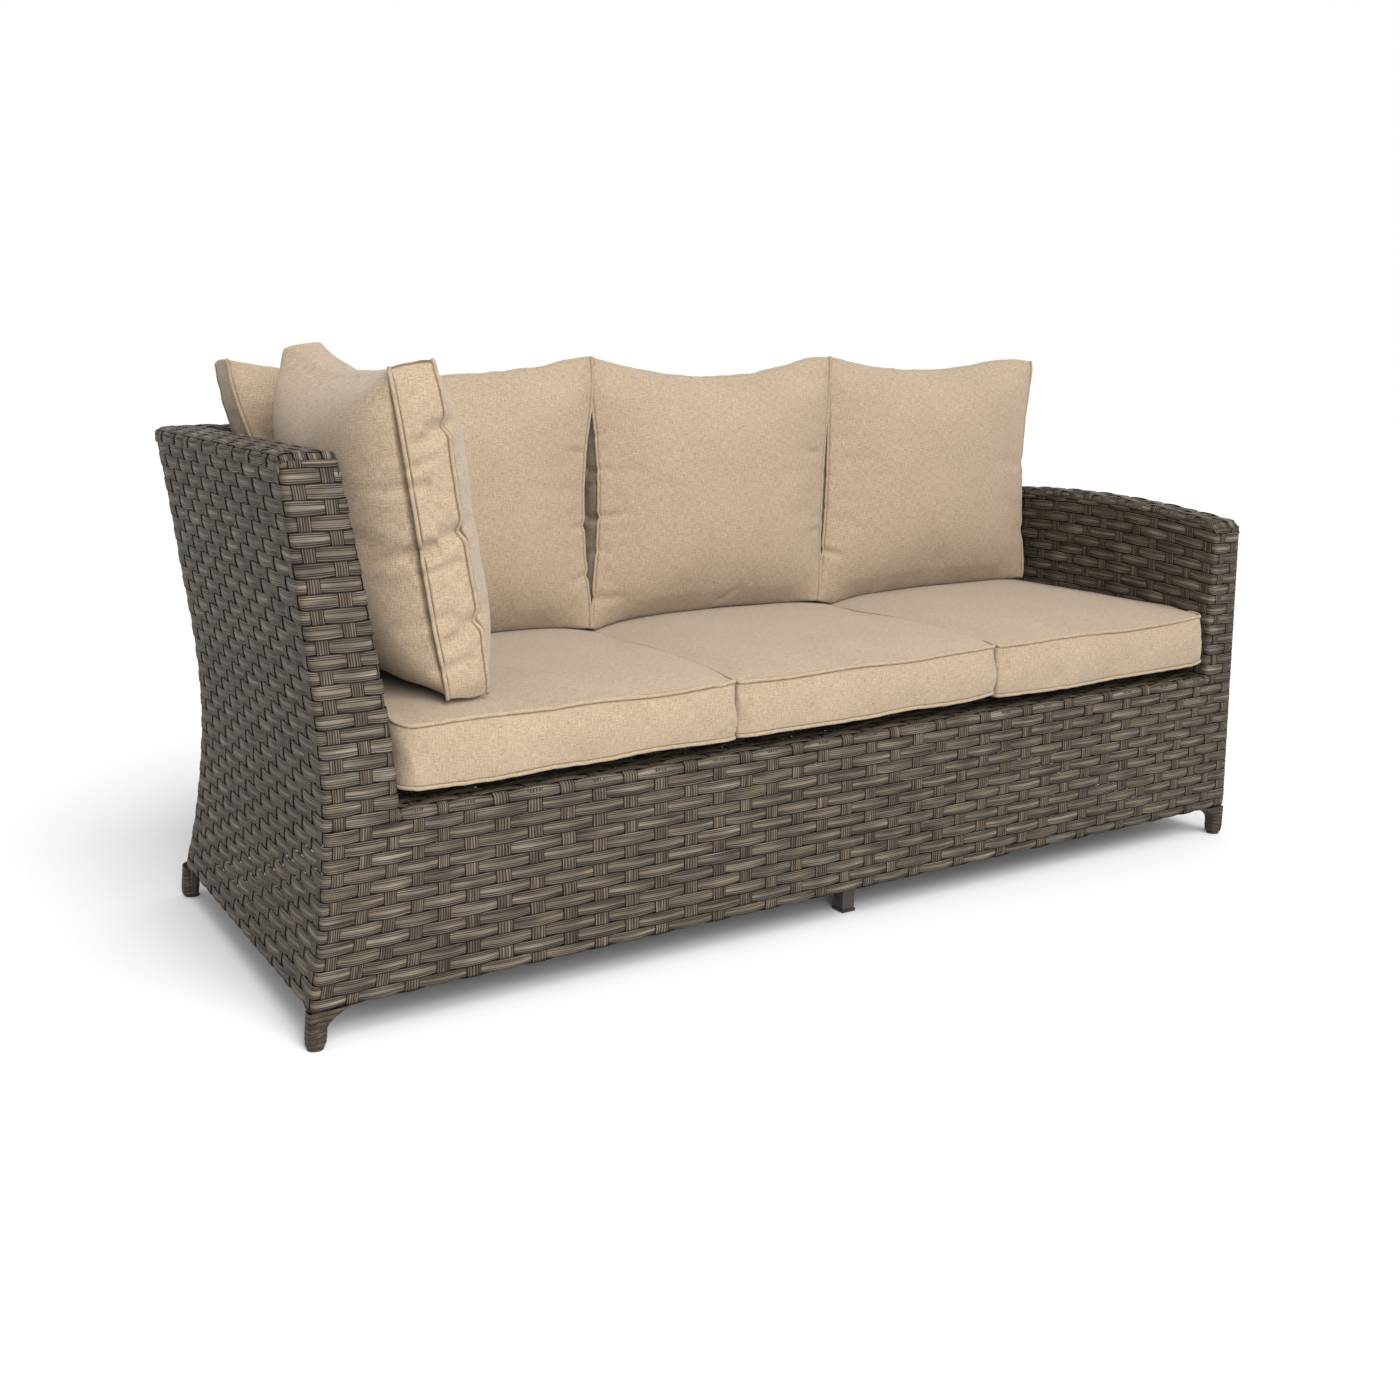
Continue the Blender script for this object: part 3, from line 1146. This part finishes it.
# %% Cloth simulation
def read(source, key, width=3):
    """One value of every vertex or point, as rows of an array."""
    flat = np.empty(len(source) * width)
    source.foreach_get(key, flat)
    return flat if width == 1 else flat.reshape(-1, width)


def places(mesh):
    return read(mesh.vertices, "co")


def set_places(mesh, co):
    mesh.vertices.foreach_set("co", np.asarray(co).ravel())
    mesh.update()


def near_seam(mesh):
    """Indices of the vertices on a seam or one strip away from it."""
    flags, co = read(mesh.attributes["rim"].data, "value", 1), places(mesh)
    held = set(np.flatnonzero(flags > 0.5))
    for edge in mesh.edges:
        a, b = edge.vertices
        if (a in held) != (b in held) and np.linalg.norm(co[a] - co[b]) < 0.0065:
            flags[[a, b]] = 1
    return [int(i) for i in np.flatnonzero(flags > 0.5)]


STUFFING = dict(quality=5, mass=0.25, tension_stiffness=12, compression_stiffness=12,
                bending_stiffness=0.25, shrink_min=-0.012, vertex_group_mass="held",
                use_pressure=True, uniform_pressure_force=5.0)


def stuff(meshes, frames=20, cap=0.026):
    """Puffs the covers up together, at most by the cap, and returns where their vertices end."""
    trial = {}
    for name, mesh in meshes.items():
        trial[name] = obj = link(bpy.data.objects.new(name + "_trial", mesh.copy()))
        obj.vertex_groups.new(name="held").add(near_seam(mesh), 1.0, "REPLACE")
        cloth = obj.modifiers.new("stuffing", "CLOTH").settings
        for key, value in STUFFING.items():
            setattr(cloth, key, value)
        cloth.effector_weights.gravity = 0
    for frame_number in range(1, frames + 1):
        scene.frame_set(frame_number)
    depsgraph = bpy.context.evaluated_depsgraph_get()
    ends = {}
    for name, obj in trial.items():
        start = places(obj.data)
        move = places(obj.evaluated_get(depsgraph).data) - start
        length = np.linalg.norm(move, axis=1, keepdims=True)
        ends[name] = start + move * np.minimum(1, cap / np.maximum(length, 1e-9))
        print(name, "moved up to", round(float(length.max()) * 1000, 1), "mm")
    scene.frame_set(1)
    for obj in trial.values():
        bpy.data.objects.remove(obj)
    return ends


ends = stuff(covers)

# %% [markdown]
# ## Folds, seams and piping
# After the stuffing each cover is subdivided. Then come the dents that the real cushions show
# where their sides are squeezed, the flat places where they rest on something, and at last the
# piping, a cord in a strip of the same linen that follows both seams.

# %% Dents that the real cushions show
# for each side: where a dent starts and ends on it, its width and its depth, all in millimetres
DENTS = {
    "side_cushion": {
        "left": [(128, -10, 142, 42, 11.2, 6.4), (96, -30, 104, 10, 8.8, 4),
            (-24, -44, -8, 34, 12.8, 8), (-56, -34, -48, 26, 8.8, 5), (-156, -16, -138, 38, 12, 6.6),
            (-190, -36, -184, 12, 9.6, 4)],
        "rear": [(-202, 66, -140, 74, 11, 4.5), (-202, -20, -120, -36, 15, 7),
            (-202, -120, -150, -132, 12, 4.5)],
        "front": [(-202, -4, -140, 6, 14, 6), (-202, -134, -150, -124, 14, 6),
            (-202, 146, -160, 152, 12, 5)]},
    "back_cushion_1": {
        "front": [(281, 60, 232, 64, 8.2, 3.3), (281, -70, 236, -76, 9, 3.3),
            (281, -160, 226, -170, 9.8, 3.9)],
        "left": [(90, -30, 96, 30, 13, 4), (-60, -30, -66, 30, 13, 4)]},
    "back_cushion_2": {
        "front": [(-252, 88, -206, 90, 7.5, 3.3), (-252, 24, -196, 30, 9, 3.9),
            (-252, 2, -210, 0, 6.8, 2.8), (-252, -60, -158, -52, 9, 5.5),
            (-252, -118, -206, -122, 8.2, 2.8), (-252, -196, -180, -204, 9.8, 3.9),
            (26, -236, 64, -204, 9, 3.6), (252, 40, 214, 44, 8.2, 2.8), (252, -110, 208, -116, 9, 3.3)],
        "left": [(30, -36, 26, 30, 14, 6)]},
    "back_cushion_3": {
        "front": [(-276, 60, -240, 66, 7.5, 2.8), (-276, -10, -230, -6, 8.2, 3.3),
            (-276, -66, -236, -70, 7.5, 2.8), (-276, -150, -216, -168, 9.8, 6.1),
            (-262, 226, -236, 190, 6.8, 3.3), (276, 0, 216, -6, 15, 3.2),
            (276, -150, 216, -140, 16, 3.6)]},
    "seat_cushion_1": {
        "front": [(250, -306, 214, -262, 11, 3.5), (-40, -306, -30, -250, 16, 2)]},
    "seat_cushion_2": {
        "front": [(-262, -306, -214, -268, 11, 3.5), (262, -306, 226, -262, 11, 2.5)]},
    "seat_cushion_3": {
        "front": [(-258, -306, -214, -266, 11, 3), (258, -306, 226, -262, 13, 3)]},
}
SIDES = {"front": (2, 1), "rear": (2, -1), "left": (0, -1)}  # axis and sign
PUCKER, FADE, UNEVEN = 1.3, 28, 1.2


def pressed(co, form_co, normals, form, seed, dents):
    """Pushes the dents and the small puckers beside the seams into the cover. Millimetres."""
    every = [(side, dent) for side, each in dents.items() for dent in each]
    for side, (*ends_at, width, depth) in every:
        axis, sign = SIDES[side]
        flat = np.delete(form_co, axis, axis=1)
        start, end = np.array(ends_at, float).reshape(2, 2)
        t = np.clip((flat - start) @ (end - start) / ((end - start) @ (end - start)), 0, 1)
        r = np.linalg.norm(flat - start - t[:, None] * (end - start), axis=1) / width
        facing = form_co[:, axis] * sign
        here = facing > (facing.max() - 30 if axis == 0 else 0)
        fade = np.where(axis == 0, 1.0, 1 - t ** 2)
        co = co - normals * (depth * fade * (1 - 0.7 * r ** 2) * np.exp(-r ** 2) * here)[:, None]
    half = np.array([form["width"], form["height"]]) / 2
    puckers = []
    for x, y, z in form_co:
        from_side, from_end = max(0.0, half[0] - abs(x)), max(0.0, half[1] - abs(y))
        calm = clamp01(from_side / 45) if form["lift"] and z > 0 else 1.0
        side_folds = drift(seed, x / 80, y / 17, z / 60) * math.exp(-from_side / FADE)
        end_folds = drift(seed + 3, x / 17, y / 80, z / 60) * math.exp(-from_end / FADE)
        uneven = drift(seed + 6, x / 110, y / 110, z / 90)
        puckers.append(calm * (PUCKER * side_folds + PUCKER * end_folds + UNEVEN * uneven))
    return co + normals * np.array(puckers)[:, None]


BACK_FOOT, BACK_RISE = 0.465, 0.47  # where the back cushions start and how far they rise, in metres
GAP, NEAR = 0.0003, 0.0004  # metres left free over the deck and between two back cushions
OVERLAP, SEAT_OVERLAP = 0.0015, 0.0014  # metres that a cover may pass the box of its solid
FAR = 9  # metres, a limit so far away that it changes nothing
ABOVE = 12  # millimetres over a wall's top that a cushion still keeps clear of it


def boundary(first, second, stages, z):
    """Where two back cushions meet, at a height, in metres."""
    middle = (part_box(first)[1][0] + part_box(second)[0][0]) / 2
    way_up = [clamp01((h - BACK_FOOT) / BACK_RISE) * 2 - 1 for h in z]
    return middle + np.array([swayed(stages, v) for v in way_up]) / 1000


def wall_at(inner, half, clear, z):
    """Where a wall's inner face stands at each height, in metres about the centre."""
    return (np.array([inner(min(h, PANEL_TOP)) for h in z]) - half + clear) / 1000


def rest_on(co, name):
    """Flattens a cover, in metres, where it touches the deck, a panel or a neighbour."""
    low, high = (np.array(corner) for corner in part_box(name))
    co[:, 2] = np.maximum(co[:, 2], low[2] + GAP)
    if name.startswith("seat"):
        co[:, 2] = np.minimum(co[:, 2], high[2] - 0.0001)
        reach = [0.0 if name.endswith(outer) else SEAT_OVERLAP for outer in "13"]
        co[:, 0] = np.clip(co[:, 0], low[0] - reach[0], high[0] + reach[1])
        co[:, 1] = np.minimum(co[:, 1], high[1])
        return co
    z = co[:, 2] * 1000
    beside = z < PANEL_TOP + ABOVE
    left_wall = np.where(beside, wall_at(left_inner, LENGTH / 2, 1, z), -FAR)
    if name == "side_cushion":
        co[:, 0] = np.maximum(co[:, 0], left_wall)
        co[:, 1] = np.minimum(co[:, 1], high[1] + OVERLAP)
        return co
    co[:, 1] = np.minimum(co[:, 1], np.where(beside, wall_at(back_inner, DEPTH / 2, -1, z), high[1]))
    arm = np.where(z < ARM_PEAK + ABOVE, (ARM_INNER - LENGTH / 2 - 1.5) / 1000, FAR)
    limits = [left_wall, boundary("back_cushion_1", "back_cushion_2", SEAM_12, co[:, 2]),
              boundary("back_cushion_2", "back_cushion_3", SEAM_23, co[:, 2]), arm]
    number = int(name[-1])
    co[:, 0] = np.clip(co[:, 0], limits[number - 1] + NEAR, limits[number] - NEAR)
    if number == 1:
        co[:, 1] = np.maximum(co[:, 1], low[1] - OVERLAP)
    return co


def settle(co, name, seats):
    """Lets the foot of a back or side cushion down onto the seat cushions. Metres."""
    foot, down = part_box(name)[0][2], Vector((0, 0, -1))
    for spot in co:
        share_left = 1 - (spot[2] - foot) / 0.08
        if share_left > 0:
            hits = [tree.ray_cast(Vector((spot[0], spot[1], 0.6)), down)[0] for tree in seats]
            drop = foot - max([hit.z for hit in hits if hit], default=foot) - 0.0006
            spot[2] -= min(0.02, max(-0.001, drop)) * share_left
    return co


# %% Piping
STRAND = 0.0024  # width of one side of the cord on the cloth map, in metres


def piping_mesh(name, co, normals, form_co, rim, shade, sides=8):
    """A cord along both seams, laid through the cover's own seam vertices. Metres."""
    verts, faces, cloth = [], [], []
    for sign in (1, -1):
        loop = np.flatnonzero((rim > 0.99) & (form_co[:, 2] * sign > 0))
        loop = loop[np.argsort(np.arctan2(form_co[loop, 1], form_co[loop, 0]))]
        path, lift = co[loop], normals[loop]
        tangent = np.roll(path, -1, 0) - np.roll(path, 1, 0)
        tangent /= np.linalg.norm(tangent, axis=1, keepdims=True)
        lift = lift - tangent * np.sum(lift * tangent, axis=1, keepdims=True)
        lift /= np.linalg.norm(lift, axis=1, keepdims=True)
        beside = np.cross(tangent, lift)
        gone = np.concatenate([[0], np.cumsum(np.linalg.norm(np.diff(path, axis=0), axis=1))])
        first = len(verts)
        for spot, up, out, shown in zip(path, lift, beside, shade[loop]):
            radius = PIPING / 1000 * min(1.0, 0.1 + 1.5 * shown)
            sunk = 0.0015 * (shown < 0.1)
            for a in 2 * math.pi * np.arange(sides) / sides:
                rise = radius * (0.15 + math.cos(a)) - sunk
                verts.append(spot + up * rise + out * radius * math.sin(a))
        faces += ring_faces(first, len(path), sides)
        cloth += [spot for start in gone for k in range(sides) for spot in
                  ((start, k * STRAND), (start, k * STRAND + STRAND),
                   (start + 0.007, k * STRAND + STRAND), (start + 0.007, k * STRAND))]
    mesh = smooth_mesh(name, verts, faces)
    mesh.uv_layers.new(name="cloth").data.foreach_set("uv", np.array(cloth).ravel())
    face_outwards(mesh)
    return mesh


def soften(mesh, form, form_co, rounds=32):
    """Lets the panels of an upright cushion roll over its top and foot, where no seam shows."""
    u, near_end = form_co[:, 0] / form["width"] * 2, form["height"] / 2 - abs(form_co[:, 1]) < 24
    soft = near_end & (u > -0.95) & (u < (2 if form is SIDE_FORM else 0.95))

    def smooth(work):
        verts = [vert for vert in work.verts if soft[vert.index]]
        for _ in range(rounds):
            bmesh.ops.smooth_vert(work, verts=verts, factor=0.5,
                                  use_axis_x=True, use_axis_y=True, use_axis_z=True)

    edit(mesh, smooth)


def subdivided(mesh, levels):
    carrier = link(bpy.data.objects.new("cover_carrier", mesh))
    smooth = carrier.modifiers.new("smooth", "SUBSURF")
    smooth.levels = smooth.render_levels = levels
    fine = bpy.data.meshes.new_from_object(carrier.evaluated_get(bpy.context.evaluated_depsgraph_get()))
    bpy.data.objects.remove(carrier)
    return fine


def upholster(name, seed):
    """Finishes one cushion and its piping and hands them to the frame."""
    form, turn = patterns[name]
    turn, mesh, seat = np.array(turn), covers[name], name.startswith("seat")
    if name in ends:
        co, half = ends[name] * 1000, form["border"] / 2
        for sign, crown in ((1, form["crowns"][0]), (-1, form["crowns"][1])):
            puffed = co[:, 2] * sign - half
            factor = min(1.15, (crown + 3) / max(1.0, puffed.max()))
            co[:, 2] = np.where(puffed > 0, sign * (half + puffed * factor), co[:, 2])
        set_places(mesh, co / 1000)
    fine = subdivided(mesh, 1 if seat else 2)
    form_co = read(fine.attributes["form"].data, "vector")
    rim, seam = (read(fine.attributes[label].data, "value", 1) for label in ("rim", "seam"))
    if not seat:
        soften(fine, form, form_co)
    co = pressed(places(fine) * 1000, form_co, read(fine.vertices, "normal"), form, seed, DENTS[name])
    fifths = (-1, -0.5, 0, 0.5, 1)
    plain_form = np.array([form_point(form, u, v, level, seed, trim=0)
                           for u in fifths for v in fifths for level in (-1, 1)])
    turned = plain_form @ turn.T / 1000
    low, high = (np.array(corner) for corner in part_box(name))
    shift = (low + high) / 2 - (turned.min(0) + turned.max(0)) / 2
    shift[0] += form["step"] / 1000
    co = rest_on(co @ turn.T / 1000 + shift, name)
    set_places(fine, co if seat else settle(co, name, seat_surfaces))
    fine.name = name + "_linen"
    cover = link(bpy.data.objects.new(name + "_linen", fine))
    trim = piping_mesh(name + "_piping", places(fine), read(fine.vertices, "normal"), form_co, rim, seam)
    if seat:
        set_places(trim, rest_on(places(trim), name))
        work = bmesh.new()
        work.from_mesh(fine)
        seat_surfaces.append(BVHTree.FromBMesh(work))
        work.free()
    for label in ("form", "rim"):
        fine.attributes.remove(fine.attributes[label])
    for obj in (cover, link(bpy.data.objects.new(name + "_piping", trim))):
        obj.data.materials.clear()
        obj.data.materials.append(linen)
        hand_over(obj, "cushion_fabric", name)
    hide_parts(name)
    box = places(fine)
    print(name, len(fine.polygons), "faces", (box.min(0) - low).round(4), (box.max(0) - high).round(4))


seat_surfaces = []
for seed, name in enumerate(patterns, 1):
    upholster(name, seed)
